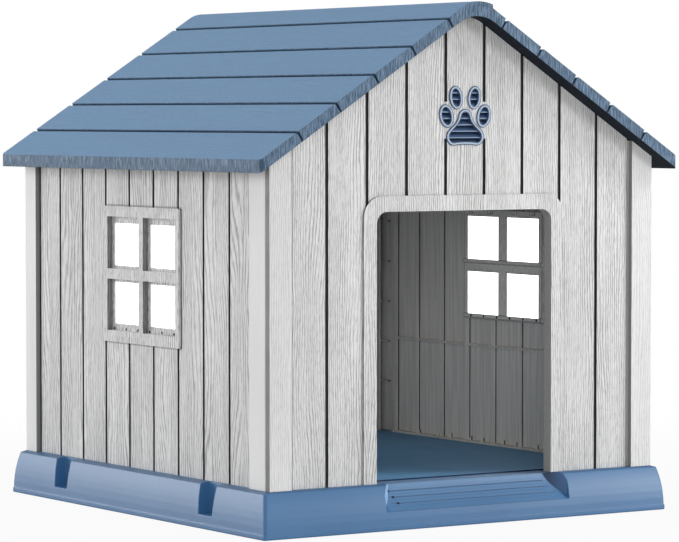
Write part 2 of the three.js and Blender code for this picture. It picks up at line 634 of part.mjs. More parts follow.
// ------------------------------------------------------------------- base tray
// a ring of points round a rectangle with rounded corners
function ring(halfX, halfY, r, z) {
  const steps = 4;
  const corners = [[1, -1, -Math.PI / 2], [1, 1, 0], [-1, 1, Math.PI / 2], [-1, -1, Math.PI]];
  return corners.flatMap(([sx, sy, start]) => Array.from({ length: steps + 1 }, (_, i) => {
    const a = start + (Math.PI / 2) * (i / steps);
    return [sx * (halfX - r) + r * Math.cos(a), sy * (halfY - r) + r * Math.sin(a), z];
  }));
}

// skins a stack of such rings, closed at both ends
function stack(rings) {
  const n = rings[0].length;
  const positions = rings.flat().flat();
  const index = [];
  for (let k = 0; k < rings.length - 1; k += 1) {
    for (let i = 0; i < n; i += 1) {
      const a = k * n + i;
      const b = k * n + ((i + 1) % n);
      index.push(a, b, b + n, a, b + n, a + n);
    }
  }
  const last = (rings.length - 1) * n;
  for (let i = 1; i < n - 1; i += 1) {
    index.push(0, i + 1, i);
    index.push(last, last + i, last + i + 1);
  }
  const geometry = new THREE.BufferGeometry();
  geometry.setAttribute('position', new THREE.Float32BufferAttribute(positions, 3));
  geometry.setIndex(index);
  return solid(geometry);
}

const SHOULDER_X = WALL_HALF_X + BASE_OVER_X;
const SHOULDER_Y = WALL_HALF_Y + BASE_OVER_Y;
const BASE_LEVELS = [0.28, 0.45, 0.6, 0.71, 0.8, 0.88, 0.95].map((k) => k * BASE_SHOULDER_Z);
const flare = (z) => 1 - (z / BASE_SHOULDER_Z) ** BASE_BULGE;

const ABOVE_BASE = BASE_TOP_Z + PAST;
const SLOT_BACK_X = WALL_HALF_X - SLOT_UNDER;
const RAMP_FOOT_Y = -WALL_HALF_Y - RAMP_FOOT_OUT;
const RAMP_TOP_Y = -WALL_HALF_Y + RAMP_TOP_IN;

function baseOuter() {
  const at = (z, extra) => ring(SHOULDER_X + BASE_FLARE_X * flare(z) + extra,
    SHOULDER_Y + BASE_FLARE_Y * flare(z) + extra, BASE_CORNER_R, z);
  const sides = BASE_LEVELS.map((z) => at(z, 0));
  return stack([
    at(0, 0), at(BASE_LIP_ROUND, BASE_LIP), at(BASE_LIP_Z, BASE_LIP),
    at(BASE_LIP_Z + BASE_LIP_ROUND, 0), ...sides, at(BASE_SHOULDER_Z, 0),
    ring(WALL_HALF_X + 1, WALL_HALF_Y + 1, BASE_CORNER_R / 2, BASE_TOP_Z)]);
}

function baseCavity() {
  const at = (z) => ring(SHOULDER_X + BASE_FLARE_X * flare(z) - BASE_WALL,
    SHOULDER_Y + BASE_FLARE_Y * flare(z) - BASE_WALL, BASE_CORNER_R - BASE_WALL, z);
  const levels = BASE_LEVELS.filter((z) => z < DECK_Z - DECK_T - 1);
  return stack([at(0).map(([x, y]) => [x, y, -1]), ...levels.map(at), at(DECK_Z - DECK_T)]);
}

// the ramp's face as points (y, z) from its foot up to the sill, moved in by an offset
function rampCurve(offset) {
  const dy = RAMP_TOP_Y - RAMP_FOOT_Y;
  const dz = DECK_Z - RAMP_FOOT_Z;
  const chord = Math.hypot(dy, dz);
  return Array.from({ length: 9 }, (_, i) => {
    const u = i / 8;
    const sag = 4 * RAMP_SAG * u * (1 - u) - offset;
    return [RAMP_FOOT_Y + dy * u + (dz / chord) * sag, RAMP_FOOT_Z + dz * u - (dy / chord) * sag];
  });
}

// what is taken out of the base for the ramp, grown by an offset
function rampNotch(offset) {
  const front = RAMP_FOOT_Y - PAST;
  const chamferY = RAMP_FOOT_Y + RAMP_CHAMFER_IN;
  const flareY = RAMP_FOOT_Y + RAMP_FLARE_IN;
  const curve = rampCurve(-offset);
  const [footY, footZ] = curve[0];
  const [topY] = curve[curve.length - 1];
  const profile = [[front, footZ], [footY, footZ], ...curve.slice(1),
    [topY, ABOVE_BASE], [front, ABOVE_BASE]];
  const plan = [
    [RAMP_LEFT - offset, front], [RAMP_LEFT - offset, chamferY],
    [RAMP_LEFT + RAMP_LEFT_CHAMFER - offset, chamferY + RAMP_CHAMFER_DEPTH],
    [RAMP_LEFT + RAMP_LEFT_CHAMFER - offset, RAMP_TOP_Y + offset + 1],
    [RAMP_RIGHT - RAMP_RIGHT_FLARE + offset, RAMP_TOP_Y + offset + 1],
    [RAMP_RIGHT + offset, flareY], [RAMP_RIGHT + offset, front]];
  const reach = RAMP_RIGHT + PAST;
  return prismX(shapeOf(profile), -reach, reach)
    .intersect(prismZ(shapeOf(plan.reverse()), 0, ABOVE_BASE));
}

// shallow grooves across the ramp, each with a deeper left end
function treadGrooves() {
  const curve = rampCurve(0);
  return Array.from({ length: TREADS }, (_, i) => {
    const z = TREAD_TOP_Z - i * TREAD_PITCH;
    const k = curve.findIndex(([, cz]) => cz > z);
    const [y0, z0] = curve[k - 1];
    const [y1, z1] = curve[k];
    const y = y0 + ((z - z0) / (z1 - z0)) * (y1 - y0);
    const left = RAMP_LEFT + RAMP_LEFT_CHAMFER + TREAD_MARGIN_LEFT + TREAD_STAGGER * i;
    const right = RAMP_RIGHT - RAMP_RIGHT_FLARE * ((y - RAMP_FOOT_Y) / (RAMP_TOP_Y - RAMP_FOOT_Y));
    const groove = box(left, right - TREAD_MARGIN_RIGHT, y - TREAD_PIT_D, y + TREAD_D,
      z - TREAD_H / 2, z + TREAD_H / 2);
    const pit = box(left, left + TREAD_PIT_L, y - TREAD_PIT_D, y + TREAD_PIT_D,
      z - TREAD_PIT_H / 2, z + TREAD_PIT_H / 2);
    return join(groove, pit);
  });
}

function sillGroove() {
  const y = RAMP_TOP_Y + SILL_GROOVE_IN;
  const left = RAMP_LEFT + RAMP_LEFT_CHAMFER + TREAD_MARGIN_LEFT + TREAD_PIT_L;
  const right = RAMP_RIGHT - RAMP_RIGHT_FLARE - TREAD_MARGIN_RIGHT;
  return box(left, right, y - TREAD_H, y + TREAD_H, DECK_Z - TREAD_D, ABOVE_BASE);
}

function slotShape(side, grow) {
  const top = SLOT_TOP_W / 2 + grow;
  const bottom = SLOT_BOTTOM_W / 2 + grow;
  const y = side * SLOT_Y + SLOT_OFFSET;
  const z0 = SLOT_Z - grow;
  const z1 = BASE_TOP_Z + 8;
  return shapeOf([[y - bottom, z0], [y + bottom, z0], [y + top, z1], [y - top, z1]]);
}

function baseTray() {
  const outer = baseOuter();
  const shell = cut(outer, cut(baseCavity(), rampNotch(BASE_WALL)));
  const ribTop = DECK_Z - DECK_T / 2;
  const ribHalfX = SHOULDER_X - BASE_WALL / 2;
  const ribHalfY = SHOULDER_Y - BASE_WALL / 2;
  const ribs = [-1, 0, 1].flatMap((k) => {
    const x = (k * SHOULDER_X) / 2;
    const y = (k * SHOULDER_Y) / 2;
    const t = BASE_RIB_T / 2;
    return [
      box(x - t, x + t, -ribHalfY, ribHalfY, BASE_RIB_LIFT, ribTop),
      box(-ribHalfX, ribHalfX, y - t, y + t, BASE_RIB_LIFT, ribTop)];
  });
  const places = [[-1, -1], [-1, 1], [1, -1], [1, 1]];
  const housings = places.map(([sign, side]) => (
    sidePrism(sign, slotShape(side, BASE_WALL), SHOULDER_X + PAST, SLOT_BACK_X - BASE_WALL)));
  const slots = places.map(([sign, side]) => (
    sidePrism(sign, slotShape(side, 0), SHOULDER_X + PAST, SLOT_BACK_X)));
  const deckHalfX = WALL_HALF_X - EDGE_DEPTH - FLANGE_W + 5;
  const recess = box(-deckHalfX, deckHalfX, FRONT_INNER_Y + FLANGE_W + GAP,
    -FRONT_INNER_Y - FLANGE_W - GAP, DECK_Z, ABOVE_BASE);
  const doorway = box(-DOOR_HALF_W + 1, DOOR_HALF_W - 1, RAMP_TOP_Y - 6, RAMP_TOP_Y + SILL_DEPTH,
    DECK_Z, ABOVE_BASE);
  const solidBase = join(shell, ribs, housings).intersect(outer);
  return cut(solidBase, rampNotch(0), treadGrooves(), sillGroove(), slots, recess, doorway);
}

function floorPanel() {
  const halfX = WALL_HALF_X - EDGE_DEPTH - FLANGE_W + 4;
  const y1 = -FRONT_INNER_Y - FLANGE_W - 2 * GAP;
  return box(-halfX, halfX, -WALL_HALF_Y + FLOOR_INSET, y1, DECK_Z + GAP, DECK_Z + GAP + FLOOR_T);
}

// ------------------------------------------------------------------------ roof
const grooveX = (i) => ROOF_GROOVE_X + i * ROOF_BOARD_PITCH;

// a point at a depth below the slope's outer face, square to it
const onSlope = (x, depth) => [x - depth * SLOPE_SIN, outerZ(x) - depth * SLOPE_COS];

// outer line of one slope from the eave up to the last groove, x counted from the ridge
function boardLine() {
  const points = [[EAVE_X, EAVE_TOP_Z]];
  for (let i = ROOF_GROOVES - 1; i >= 0; i -= 1) {
    const at = (s, depth) => onSlope(grooveX(i) + s * SLOPE_COS, depth);
    const half = ROOF_GROOVE_W / 2;
    points.push(at(half + ROOF_CHAMFER, 0), at(half, ROOF_CHAMFER),
      at(ROOF_GROOVE_FOOT_W / 2, ROOF_GROOVE_D), at(-ROOF_GROOVE_FOOT_W / 2, ROOF_GROOVE_D),
      at(-half, 0));
  }
  return points;
}

const CAP_CREST_Z = OUTER_APEX_Z - CAP_DROP;
const CAP_EDGE_Z = CAP_CREST_Z - CAP_FALL;
const CAP_R = (OUTER_APEX_Z + SLOPE_TAN * CAP_CREST_X - CAP_CREST_Z) * SLOPE_COS
  / (1 - SLOPE_COS);
const CAP_RUN_R = ((CAP_EDGE_X - CAP_CREST_X) ** 2 / (CAP_CREST_Z - CAP_EDGE_Z)
  + (CAP_CREST_Z - CAP_EDGE_Z)) / 2;

// the cap's line right of the crest, lowered by an offset
function capRun(offset, toX) {
  const r = CAP_RUN_R - offset;
  const end = Math.acos((toX - CAP_CREST_X) / r);
  return arcPoints(CAP_CREST_X, CAP_CREST_Z - CAP_RUN_R, r, Math.PI / 2, end, 5);
}

// hollows under the boards, square to the slope and open downwards
function roofPockets(side, ridgeSkin) {
  const margin = (ROOF_GROOVE_W / 2 + ROOF_RIB_T) * SLOPE_COS;
  const wallInner = SIDE_INNER_X - GROOVE_D - ROOF_RIB_T;
  const grooves = Array.from({ length: ROOF_GROOVES }, (_, i) => grooveX(i));
  const starts = [RIDGE_HOLLOW_X, ...grooves.map((x) => x + margin)];
  const ends = [...grooves.map((x) => x - margin), wallInner + ROOF_T * SLOPE_SIN];
  const rim = ROOF_HALF_Y - ROOF_RIM;
  const pitchY = (2 * rim + ROOF_RIB_T) / ROOF_POCKETS;
  return starts.flatMap((x0, i) => {
    const skin = ROOF_SKIN + (i === 0 ? ridgeSkin : 0);
    const below = ROOF_T * 1.5;
    const corners = [onSlope(x0, skin), onSlope(ends[i], skin), onSlope(ends[i], below),
      onSlope(x0, below)];
    const shape = shapeOf(corners.map(([x, z]) => [side * x, z]));
    return Array.from({ length: ROOF_POCKETS }, (_, k) => {
      const y0 = -rim + k * pitchY;
      return prismY(shape, y0, y0 + pitchY - ROOF_RIB_T);
    });
  });
}

// the roof seen from above, its eave corners rounded
function roofPlan() {
  const r = ROOF_CORNER_R;
  const shape = roundedRect(-EAVE_X, EAVE_X, -ROOF_HALF_Y, ROOF_HALF_Y, [r, r, r, r]);
  return prismZ(shape, 0, CAP_CREST_Z + CAP_T);
}

const underArc = (from, to) => arcPoints(0, UNDER_APEX_Z - RIDGE_UNDER_R / SLOPE_COS,
  RIDGE_UNDER_R, from, to, 6);

function roofLeft() {
  const capLeft = arcPoints(CAP_CREST_X, CAP_CREST_Z - CAP_R, CAP_R,
    Math.PI / 2 + ROOF_SLOPE, Math.PI / 2, 6);
  const jointX = -GAP / 2;
  const underRun = capRun(CAP_T, CAP_EDGE_X).reverse();
  const under = underArc(Math.PI / 2, Math.PI / 2 + ROOF_SLOPE).slice(1);
  const outline = [
    ...boardLine().map(([x, z]) => [-x, z]), ...capLeft, ...capRun(0, CAP_EDGE_X).slice(1),
    ...underRun, [jointX, CAP_CREST_Z - CAP_T],
    [jointX, UNDER_APEX_Z - RIDGE_UNDER_R / SLOPE_COS + RIDGE_UNDER_R], ...under,
    [-EAVE_X, underZ(EAVE_X)]];
  const body = prismY(shapeOf(outline.reverse()), -ROOF_HALF_Y, ROOF_HALF_Y)
    .intersect(roofPlan());
  return cut(body, roofPockets(-1, RIDGE_SKIN_LEFT));
}

function roofRight() {
  const jointX = GAP / 2;
  const seat = capRun(CAP_T + GAP, CAP_EDGE_X + GAP);
  const under = underArc(Math.PI / 2 - ROOF_SLOPE, Math.PI / 2).slice(0, -1);
  const outline = [
    ...boardLine(), [CAP_EDGE_X + GAP, outerZ(CAP_EDGE_X + GAP)], ...seat.reverse(),
    [jointX, CAP_CREST_Z - CAP_T - GAP],
    [jointX, UNDER_APEX_Z - RIDGE_UNDER_R / SLOPE_COS + RIDGE_UNDER_R], ...under.reverse(),
    [EAVE_X, underZ(EAVE_X)]];
  const body = prismY(shapeOf(outline), -ROOF_HALF_Y, ROOF_HALF_Y)
    .intersect(roofPlan());
  return cut(body, roofPockets(1, RIDGE_SKIN_RIGHT));
}

// -------------------------------------------------------------------- assembly
const group = new THREE.Group();
const roof = new THREE.Group();
group.add(roof);

mesh('base_tray', baseTray(), 'base', group);
mesh('floor_panel', floorPanel(), 'floor', group);
mesh('front_wall', frontWall(), 'wall', group);
mesh('back_wall', backWall(), 'wall', group);
for (const [sign, side] of [[-1, 'left'], [1, 'right']]) {
  mesh(`${side}_wall`, sideWall(sign), 'wall', group);
  mesh(`window_frame_${side}`, windowFrame(sign), 'wall', group);
  mesh(`window_insert_${side}`, windowInsert(sign), 'insert', group);
  windowPanes(sign).forEach((pane, i) => {
    mesh(`window_pane_${side}_${i + 1}`, pane, 'pane', group);
  });
}
mesh('paw_vent', pawVent(), 'vent', group);
mesh('roof_left', roofLeft(), 'roof', roof);
mesh('roof_right', roofRight(), 'roof', roof);

export default group;
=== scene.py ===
import math

import bpy
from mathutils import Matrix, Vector

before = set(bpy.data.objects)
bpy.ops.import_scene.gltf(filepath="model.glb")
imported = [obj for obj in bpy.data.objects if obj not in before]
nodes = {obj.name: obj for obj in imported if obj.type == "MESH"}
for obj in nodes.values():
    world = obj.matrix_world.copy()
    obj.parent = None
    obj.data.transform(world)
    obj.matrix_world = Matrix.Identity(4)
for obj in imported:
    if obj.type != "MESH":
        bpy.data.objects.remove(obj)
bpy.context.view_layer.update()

# ------------------------------------------------------------------ sizes, in metres
# A pair is a lowest and a highest value. A depth is measured inwards from the posts' faces.
POST_X = 0.450                      # outer faces of the corner posts
POST_Y = 0.482
POST_WIDTH = 0.060                  # a front post with the groove beside it
POST_DEPTH = 0.005                  # faces nearer than this are the posts'
TRIM_DEPTH = (0.0061, 0.0095)       # the step round the door trim
BOARD_DEPTH = (0.0085, 0.0095)      # the boards' faces
GROOVE_DEPTH = (0.0096, 0.0146)     # the grooves between the boards
SKIN_DEPTH = 0.0151                 # faces deeper than this are inside
CORNER_SHADE_WIDTH = 0.0165                 # painted shade in a strip down the side walls' front posts
END_MARGIN = 0.0005                 # how far within POST_X the gable walls' ends begin
FRONT_PITCH = 0.0907                # widths of the boards
SIDE_PITCH = 0.0958
SIDE_OFFSET = 0.0117                # how far the side boards stand off the middle

WINDOW_Z = 0.47225                  # middle of the window frames
WINDOW_HALF_W = 0.148
WINDOW_HALF_H = 0.13625
WINDOW_OFFSET = 0.006
WINDOW_BORDER = 0.009               # outer border of a frame, outside its reveals
SHADOW_LINE_FADE = (0.0026, 0.0042)        # the painted shadow line round a frame fades between these
SHADOW_LINE_STEP = 0.0003
TRIM_HALF_W = 0.2365                # outer edge of the door trim
DOOR_HALF_W = 0.2101
DOOR_TOP = 0.611
DRAIN_Z = 0.362                     # drain holes of the window inserts
DRAIN_R = 0.0022
DRAIN_MARGIN = 0.0007               # painted shade ring round a hole
DRAIN_PITCH = 0.0472
DRAIN_OFFSET = 0.008
INSERT_ROUND = 0.0035               # radius of the painted shade along the inserts' edges

ROOF_SLOPE = math.radians(32.4)
ROOF_PITCH = 0.0848                 # boards, measured level
ROOF_SLOT_X = 0.069                 # groove nearest the ridge
ROOF_APEX_Z = 1.0183                # where the two slopes would meet
ROOF_GROOVE_DEPTH = 0.0024          # below this the grooves get painted shade
ROOF_GROOVE_X = (0.05, 0.47)
ROOF_SLOT_END_X = (0.05, 0.45)      # where the grooves show as slots in the roof's edge
ROOF_SLOT_FADE = (0.0017, 0.0023)   # half width of a slot
ROOF_ROUND = 0.002

RIM_Z = 0.0846                      # the base's upper edge
RIM_X = POST_X + 0.0005             # the rim lies beyond these
RIM_Y = -POST_Y - 0.0002
FOOT_X = (-0.197, 0.235)            # painted shade line along the foot of the ramp
FOOT_Y = -0.4965
FOOT_Z = (0.036 - 0.0007, 0.036 + 0.0006)
RAMP_X = (-0.19, 0.226)
RAMP_Y = (-0.4975, -0.4655)
TREAD_X = (-0.178, 0.19)            # painted shade along the grooves across the ramp
TREAD_Y = (-0.4955, -0.4655)
TREADS_Z = (0.0723, 0.0611, 0.0499)
TREAD_FADE = (0.0003, 0.0013)
TREAD_SHADE_DROP = 0.0056           # a fainter painted shade line below each groove
TREAD_SHADE_FADE = (0.0002, 0.001)
PIT_LEFT = -0.1793                  # deeper left end of the upper groove, a pit of painted shade
PIT_STAGGER = 0.007
PIT_WIDTH = 0.0056
PIT_HALF_H = 0.0019
PIT_Y = -0.46
CHEEK_X = (0.17, 0.2345)            # painted shade on the flared cheek at the ramp's right
CHEEK_Y = (-0.4885, -0.46)
CHEEK_SHADE_X = (0.195, 0.232)
SILL_X = (-0.21, 0.21)
SILL_Y = (-0.4665, -0.42)
SILL_Z = 0.0855
CHAMFER_X = (-0.1985, -0.18)        # painted highlight on the narrow slope at the ramp's left
CHAMFER_Y = (-0.4985, -0.466)
BASE_ROUND = 0.003

VENT_RIM_Y = -0.4745                # nearer than this are the vent's rims
VENT_SLAT_Y = (-0.472, -0.467)      # painted shade on the louvres deepens from front to back
VENT_FRONT_Y = -0.470
VENT_ROUND = 0.0040                 # painted shade along the rims' edges

# ------------------------------------------------------------- colours, scene-linear


def srgb(r, g, b):
    """An sRGB colour of 0 to 255 as a linear RGBA tuple."""
    def linear(c):
        c /= 255
        return c / 12.92 if c <= 0.04045 else ((c + 0.055) / 1.055) ** 2.4
    return (linear(r), linear(g), linear(b), 1.0)


# A colour that ends in _2 is the other end of a slow or fine variation.
WALL_PALE = srgb(230, 230, 229)
WALL_PALE_2 = srgb(221, 221, 220)
WALL_DARK = srgb(118, 118, 117)
# painted shade on the side faces of the walls' steps and posts
WALL_STEP_SHADE = srgb(138, 138, 138)
# painted shade at the front corners: a strip on the side posts and the gable walls' end
# faces
WALL_CORNER_SHADE = srgb(122, 122, 122)
# painted shade on the doorway's jambs
WALL_JAMB_SHADE = srgb(176, 173, 169)
# painted shadow beside the window frames and on the door trim's side faces
WALL_EDGE_SHADOW = srgb(36, 36, 36)
# painted shade in the window frames' reveals
REVEAL_SHADE = srgb(122, 122, 122)
REVEAL_SHADE_2 = srgb(64, 64, 64)
WALL_INSIDE = srgb(233, 230, 225)
WALL_INSIDE_2 = srgb(212, 209, 204)
# painted shade in the grooves between the boards, lighter beside the front posts
GROOVE_SHADE_FRONT = srgb(66, 66, 67)
GROOVE_SHADE_SIDE = srgb(46, 46, 46)
GROOVE_SHADE_POST = srgb(196, 196, 196)
ROOF_TOP = srgb(121, 157, 192)
ROOF_DARK = srgb(78, 108, 138)
ROOF_EDGE = srgb(110, 135, 160)
ROOF_SAWN = srgb(52, 74, 98)
# painted shade in the roof's grooves and in their slots at the edges
ROOF_GROOVE_SHADE = srgb(44, 72, 100)
ROOF_SLOT_SHADE = srgb(30, 50, 74)
# painted shade on the roof's underside
ROOF_UNDER_SHADE = srgb(16, 26, 38)
BASE_BLUE = srgb(62, 112, 158)
BASE_BLUE_2 = srgb(58, 107, 153)
# painted shade on the base's upper rim and along the ramp's foot
BASE_RIM_SHADE = srgb(66, 102, 140)
# painted shade along the ramp's tread grooves
BASE_TREAD_SHADE = srgb(50, 80, 112)
# deep painted shade: ramp pits, floor sheet edges, the cheek's darkest part
BASE_DEEP_SHADE = srgb(24, 48, 82)
# painted shade on the ramp's right cheek
BASE_CHEEK_SHADE = srgb(56, 94, 138)
# painted light and highlight on the ramp, sill and left slope
BASE_HIGHLIGHT = srgb(150, 184, 220)
FLOOR_BLUE = srgb(108, 164, 208)
FLOOR_BLUE_2 = srgb(96, 152, 196)
INSERT_GREY = srgb(238, 236, 231)
INSERT_GREY_2 = srgb(220, 217, 212)
# painted shade along the inserts' edges
INSERT_EDGE_SHADE = srgb(150, 148, 145)
# mottled painted shade where the inserts face out
INSERT_OUT_SHADE = srgb(216, 216, 216)
INSERT_OUT_SHADE_2 = srgb(156, 156, 156)
# painted shade for the drain holes
INSERT_HOLE_SHADE = srgb(22, 22, 22)
PANE_MILK = srgb(247, 248, 248)
PANE_MILK_2 = srgb(240, 241, 241)
# painted highlights and shade on the vent's rims and louvres
VENT_RIM_HIGHLIGHT = srgb(164, 184, 208)
VENT_EDGE_SHADE = srgb(46, 68, 98)
VENT_FRONT_HIGHLIGHT = srgb(110, 134, 164)
VENT_SLAT_SHADE = srgb(66, 90, 124)
VENT_INSIDE_SHADE = srgb(38, 56, 84)
STUDIO_FLOOR = srgb(216, 216, 216)
STUDIO_LIGHT = (0.97, 0.98, 1.0, 1.0)
WHITE = (1.0, 1.0, 1.0, 1.0)

# ------------------------------------------------------------------- surface numbers
# Grain: metres from line to line, how far the lines swing into arches, how dark they
# are, and how dark the pores between them are.
SIDE_GRAIN = {"spacing": 0.0078, "arch": 7.0, "figure": 0.62, "pores": 0.18}
GABLE_GRAIN = {"spacing": 0.0052, "arch": 4.5, "figure": 0.5, "pores": 0.2}
FRAME_GRAIN = {"spacing": 0.0052, "arch": 4.5, "figure": 0.75, "pores": 0.3}
ROOF_GRAIN = {"spacing": 0.006, "arch": 5.0, "figure": 0.6, "pores": 0.4}

SOFT = (0.35, 0.65)                 # limits that turn a noise into patches
WIDE = (0.3, 0.7)
STREAK = (0.4, 0.62)
SAWN = (0.42, 0.6)
SPARK_SCALE = 900.0                 # fine texture of the moulded blue parts
SPARK_DEPTH = 0.0003
SQUARE = 0.5                        # a normal's share beyond which it faces that way

# -------------------------------------------------------------------- node helpers


class Graph:
    """Short calls for building one material's nodes."""

    def __init__(self, name):
        self.material = bpy.data.materials.new(name)
        self.material.use_nodes = True
        self.tree = self.material.node_tree
        self.tree.nodes.clear()
        self.output = self.tree.nodes.new("ShaderNodeOutputMaterial")
        coordinates = self.tree.nodes.new("ShaderNodeTexCoord")
        self.place = coordinates.outputs["Object"]
        self.normal = coordinates.outputs["Normal"]

    def node(self, kind, **settings):
        node = self.tree.nodes.new(kind)
        for key, value in settings.items():
            setattr(node, key, value)
        return node

    def link(self, source, target):
        self.tree.links.new(source, target)

    def feed(self, socket, value):
        """A link where the value is a socket, and otherwise the socket's own number."""
        if isinstance(value, bpy.types.NodeSocket):
            self.link(value, socket)
        else:
            socket.default_value = value

    def math(self, operation, a, b=0.0, clamp=False):
        node = self.node("ShaderNodeMath", operation=operation, use_clamp=clamp)
        self.feed(node.inputs[0], a)
        self.feed(node.inputs[1], b)
        return node.outputs[0]

    def plus(self, a, b, clamp=False):
        return self.math("ADD", a, b, clamp)

    def minus(self, a, b):
        return self.math("SUBTRACT", a, b)

    def over(self, a, b):
        return self.math("DIVIDE", a, b)

    def times(self, first, *others):
        """The product; of masks, 1 where all of them are."""
        for other in others:
            first = self.math("MULTIPLY", first, other)
        return first

    def highest(self, a, b):
        """The higher value; of masks, 1 where either of them is."""
        return self.math("MAXIMUM", a, b)

    def size(self, value):
        return self.math("ABSOLUTE", value)

    def distance(self, a, b):
        """Length of the line that goes a one way and b across it."""
        squares = self.plus(self.math("POWER", a, 2.0), self.math("POWER", b, 2.0))
        return self.math("SQRT", squares)

    def above(self, value, limit):
        return self.math("GREATER_THAN", value, limit)

    def below(self, value, limit):
        return self.math("LESS_THAN", value, limit)

    def between(self, value, limits):
        return self.times(self.above(value, limits[0]), self.below(value, limits[1]))

    def in_field(self, x, x_limits, y, y_limits):
        return self.times(self.between(x, x_limits), self.between(y, y_limits))

    def split(self, vector):
        node = self.node("ShaderNodeSeparateXYZ")
        self.feed(node.inputs[0], vector)
        return node.outputs

    def vector(self, x, y, z):
        node = self.node("ShaderNodeCombineXYZ")
        for socket, value in zip(node.inputs, (x, y, z)):
            self.feed(socket, value)
        return node.outputs[0]

    def noise(self, vector, scale=1.0, detail=2.0, rough=0.5, distortion=0.0):
        node = self.node("ShaderNodeTexNoise")
        for key, value in (("Vector", vector), ("Scale", scale), ("Detail", detail),
                           ("Roughness", rough), ("Distortion", distortion)):
            self.feed(node.inputs[key], value)
        return node.outputs["Fac"]

    def spark(self):
        return self.noise(self.place, SPARK_SCALE, rough=0.6)

    def random(self, value):
        node = self.node("ShaderNodeTexWhiteNoise", noise_dimensions="1D")
        self.feed(node.inputs["W"], value)
        return node.outputs["Value"]

    def ramp(self, value, limits, to_low=0.0, to_high=1.0):
        """A smooth step from one number to another as the value passes its limits."""
        node = self.node("ShaderNodeMapRange", interpolation_type="SMOOTHSTEP")
        for key, number in (("Value", value), ("From Min", limits[0]),
                            ("From Max", limits[1]), ("To Min", to_low),
                            ("To Max", to_high)):
            self.feed(node.inputs[key], number)
        return node.outputs["Result"]

    def mix(self, factor, a, b):
        """Colour a where the factor is 0, and b where it is 1."""
        node = self.node("ShaderNodeMix", data_type="RGBA")
        for index, value in ((0, factor), (6, a), (7, b)):
            self.feed(node.inputs[index], value)
        return node.outputs[2]

    def blend(self, factor, a, b):
        """Number a where the factor is 0, and b where it is 1."""
        node = self.node("ShaderNodeMix", data_type="FLOAT")
        for index, value in ((0, factor), (2, a), (3, b)):
            self.feed(node.inputs[index], value)
        return node.outputs[0]

    def bevel(self, radius, samples):
        node = self.node("ShaderNodeBevel", samples=samples)
        node.inputs["Radius"].default_value = radius
        return node.outputs[0]

    def bump(self, height, strength, distance, rounding=0.0):
        """Relief from a height; with rounding, edges of that radius look soft too."""
        node = self.node("ShaderNodeBump")
        if rounding:
            self.link(self.bevel(rounding, 6), node.inputs["Normal"])
        for key, value in (("Strength", strength), ("Distance", distance),
                           ("Height", height)):
            self.feed(node.inputs[key], value)
        return node.outputs["Normal"]

    def flat(self, radius, limits):
        """1 on flat ground and 0 on edges that a bevel of that radius would round."""
        turn = self.node("ShaderNodeVectorMath", operation="DOT_PRODUCT")
        self.link(self.bevel(radius, 8), turn.inputs[0])
        self.link(self.node("ShaderNodeNewGeometry").outputs["Normal"], turn.inputs[1])
        return self.ramp(turn.outputs["Value"], limits)

    def plastic(self, colour, roughness, normal=None, specular=0.35):
        shader = self.node("ShaderNodeBsdfPrincipled")
        self.feed(shader.inputs["Base Color"], colour)
        self.feed(shader.inputs["Roughness"], roughness)
        shader.inputs["Specular IOR Level"].default_value = specular
        if normal is not None:
            self.feed(shader.inputs["Normal"], normal)
        self.link(shader.outputs[0], self.output.inputs["Surface"])
        return shader


def grain(g, across, along, seed, spacing, arch, figure, pores):
    """Embossed wood, from 0 to 1 where it is darkest and deepest: fine lines along the
    board that swing into arches, with pores between them."""
    shift = g.times(seed, 7.0)
    lane = g.plus(across, shift)

    def field(across_scale, along_scale):
        place = g.vector(g.times(lane, across_scale), g.times(along, along_scale), shift)
        return g.noise(place, detail=1.0)

    rings = g.plus(g.times(field(9.0, 1.7), 2.0 * arch), g.over(across, spacing))
    rings = g.plus(rings, g.times(field(30.0, 6.0), 2.0))
    rings = g.plus(rings, g.times(field(150.0, 22.0), 0.7))
    line = g.ramp(g.math("PINGPONG", rings, 0.5), (0.0, 0.3), 1.0, 0.0)
    line = g.times(line, g.ramp(field(45.0, 4.0), (0.3, 0.65), 0.5, 1.0))
    pore = g.ramp(field(520.0, 60.0), (0.5, 0.62))
    return g.plus(g.times(line, figure), g.times(pore, pores), clamp=True)


def from_window(g, side, y):
    """Distance along the wall from the middle of its window."""
    return g.size(g.plus(y, g.times(side, WINDOW_OFFSET)))


# ----------------------------------------------------------------------- materials


def window_shadow_line(g, side, y, z, depth):
    """Painted shadow: 1 on the boards right beside the window frame, fainter above and
    below it.
    """
    above = g.minus(g.size(g.minus(z, WINDOW_Z)), WINDOW_HALF_H)
    beyond = g.highest(g.minus(from_window(g, side, y), WINDOW_HALF_W), above)
    shadow_line = g.times(g.ramp(beyond, SHADOW_LINE_FADE, 1.0, 0.0),
                   g.ramp(above, (0.0, SHADOW_LINE_STEP), 1.0, 0.4))
    return g.times(shadow_line, g.between(depth, BOARD_DEPTH))


